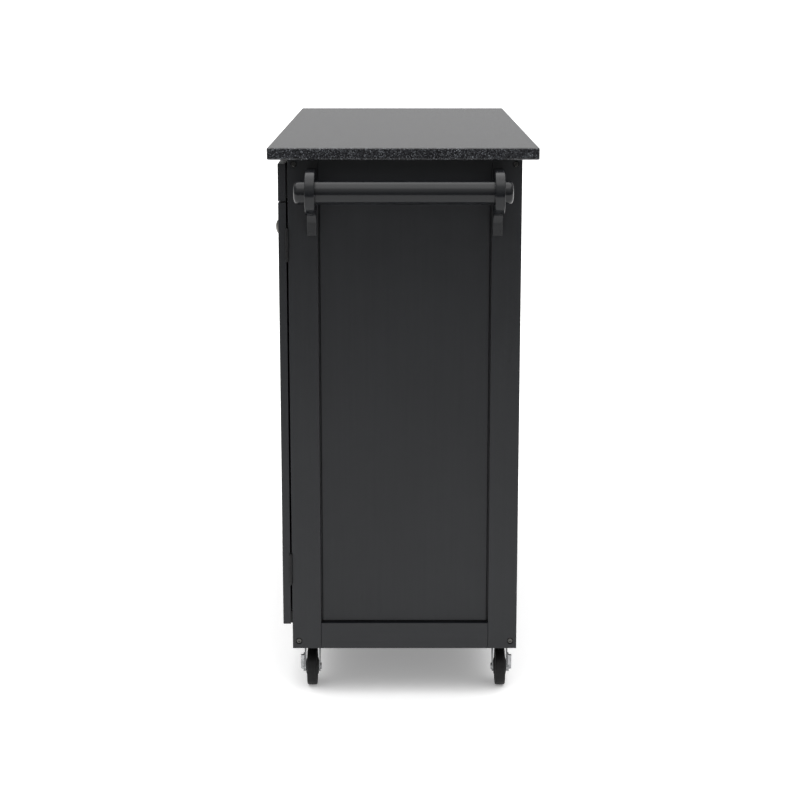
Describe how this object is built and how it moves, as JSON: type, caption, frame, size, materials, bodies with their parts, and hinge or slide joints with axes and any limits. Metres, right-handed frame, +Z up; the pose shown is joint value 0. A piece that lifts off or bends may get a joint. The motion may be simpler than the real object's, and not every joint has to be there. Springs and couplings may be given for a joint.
{
  "type": "kitchen island cart",
  "caption": "Kitchen island cart: speckled stone worktop on a black framed cabinet with two doors, a shallow drawer, an open bay, a towel bar on one end and braked swivel casters.",
  "frame": {"origin": "on the floor, under the middle of the box around the whole cart", "axes": "+Z up; the doors face -Y; +X runs along the cart to the end with the towel bar"},
  "size_m": [1.181, 0.44, 0.9208],
  "materials": {
    "speckled_granite": "polished",
    "black_lacquer": "satin lacquer",
    "inner_wood": "matte stain",
    "dark_metal": "antique satin",
    "black_hardware": "black satin",
    "nickel_screws": "nickel",
    "zinc": "zinc plated",
    "black_wheel": "matte",
    "black_plastic": "moulded"
  },
  "bodies": {
    "cabinet": {"adjustable_shelves": "black_lacquer", "back_bottom_rail": "black_lacquer", "back_mullions": "black_lacquer", "back_panel": "black_lacquer", "back_top_rail": "black_lacquer", "bottom_board": "black_lacquer", "caster_blocks": "inner_wood", "caster_stems": "zinc", "door_catches": "black_plastic", "drawer_runners": "zinc", "fascias": "black_lacquer", "frame_bolts": "nickel_screws", "front_bottom_rail": "black_lacquer", "front_top_rail": "black_lacquer", "granite_top": "speckled_granite", "hinge_case_leaves": "black_hardware", "hinge_pins": "black_hardware", "left_panel": "black_lacquer", "left_rails": "black_lacquer", "left_stiles": "black_lacquer", "mid_rails": "black_lacquer", "partitions": "black_lacquer", "right_back_stile": "black_lacquer", "right_bottom_rail": "black_lacquer", "right_front_stile": "black_lacquer", "right_panel": "black_lacquer", "right_top_rail": "black_lacquer", "shelf_pins": "zinc", "towel_bar_screws": "nickel_screws", "towel_bracket_back": "black_lacquer", "towel_bracket_front": "black_lacquer", "towel_rod": "black_lacquer"},
    "right_door": {"right_door_hinge_leaves": "black_hardware", "right_door_knob": "dark_metal", "right_door_panel": "black_lacquer", "right_door_rails": "black_lacquer", "right_door_stiles": "black_lacquer"},
    "left_door": {"left_door_hinge_leaves": "black_hardware", "left_door_knob": "dark_metal", "left_door_panel": "black_lacquer", "left_door_rails": "black_lacquer", "left_door_stiles": "black_lacquer"},
    "drawer": {"drawer_back": "inner_wood", "drawer_bottom": "inner_wood", "drawer_front": "black_lacquer", "drawer_knob": "dark_metal", "drawer_sides": "inner_wood", "drawer_slides": "zinc"},
    "caster_fork_right_front": {"caster_fork_right_front": "zinc"},
    "caster_wheel_right_front": {"caster_wheel_right_front": "black_wheel"},
    "caster_brake_right_front": {"caster_brake_right_front": "zinc"},
    "caster_fork_right_back": {"caster_fork_right_back": "zinc"},
    "caster_wheel_right_back": {"caster_wheel_right_back": "black_wheel"},
    "caster_brake_right_back": {"caster_brake_right_back": "zinc"},
    "caster_fork_left_front": {"caster_fork_left_front": "zinc"},
    "caster_wheel_left_front": {"caster_wheel_left_front": "black_wheel"},
    "caster_brake_left_front": {"caster_brake_left_front": "zinc"},
    "caster_fork_left_back": {"caster_fork_left_back": "zinc"},
    "caster_wheel_left_back": {"caster_wheel_left_back": "black_wheel"},
    "caster_brake_left_back": {"caster_brake_left_back": "zinc"}
  },
  "joints": [
    {"name": "right_door_hinge", "type": "hinge", "parent": "cabinet", "child": "right_door", "pos_m": [0.5024, -0.181, 0.4936], "axis": [0, 0, 1], "range_deg": [0, 165]},
    {"name": "left_door_hinge", "type": "hinge", "parent": "cabinet", "child": "left_door", "pos_m": [-0.5634, -0.181, 0.4936], "axis": [0, 0, -1], "range_deg": [0, 165]},
    {"name": "drawer_slide", "type": "slide", "parent": "cabinet", "child": "drawer", "axis": [0, -1, 0], "range_m": [0, 0.24]},
    {"name": "swivel_right_front", "type": "hinge", "parent": "cabinet", "child": "caster_fork_right_front", "pos_m": [0.4185, -0.1495, 0.076], "axis": [0, 0, 1], "continuous": true},
    {"name": "wheel_right_front", "type": "hinge", "parent": "caster_fork_right_front", "child": "caster_wheel_right_front", "pos_m": [0.4385, -0.1495, 0.032], "axis": [0, 1, 0], "continuous": true},
    {"name": "brake_right_front", "type": "hinge", "parent": "caster_fork_right_front", "child": "caster_brake_right_front", "pos_m": [0.4385, -0.1495, 0.032], "axis": [0, 1, 0], "range_deg": [0, 50]},
    {"name": "swivel_right_back", "type": "hinge", "parent": "cabinet", "child": "caster_fork_right_back", "pos_m": [0.4185, 0.1704, 0.076], "axis": [0, 0, 1], "continuous": true},
    {"name": "wheel_right_back", "type": "hinge", "parent": "caster_fork_right_back", "child": "caster_wheel_right_back", "pos_m": [0.4385, 0.1704, 0.032], "axis": [0, 1, 0], "continuous": true},
    {"name": "brake_right_back", "type": "hinge", "parent": "caster_fork_right_back", "child": "caster_brake_right_back", "pos_m": [0.4385, 0.1704, 0.032], "axis": [0, 1, 0], "range_deg": [0, 50]},
    {"name": "swivel_left_front", "type": "hinge", "parent": "cabinet", "child": "caster_fork_left_front", "pos_m": [-0.4795, -0.1495, 0.076], "axis": [0, 0, 1], "continuous": true},
    {"name": "wheel_left_front", "type": "hinge", "parent": "caster_fork_left_front", "child": "caster_wheel_left_front", "pos_m": [-0.4595, -0.1495, 0.032], "axis": [0, 1, 0], "continuous": true},
    {"name": "brake_left_front", "type": "hinge", "parent": "caster_fork_left_front", "child": "caster_brake_left_front", "pos_m": [-0.4595, -0.1495, 0.032], "axis": [0, 1, 0], "range_deg": [0, 50]},
    {"name": "swivel_left_back", "type": "hinge", "parent": "cabinet", "child": "caster_fork_left_back", "pos_m": [-0.4795, 0.1704, 0.076], "axis": [0, 0, 1], "continuous": true},
    {"name": "wheel_left_back", "type": "hinge", "parent": "caster_fork_left_back", "child": "caster_wheel_left_back", "pos_m": [-0.4595, 0.1704, 0.032], "axis": [0, 1, 0], "continuous": true},
    {"name": "brake_left_back", "type": "hinge", "parent": "caster_fork_left_back", "child": "caster_brake_left_back", "pos_m": [-0.4595, 0.1704, 0.032], "axis": [0, 1, 0], "range_deg": [0, 50]}
  ]
}
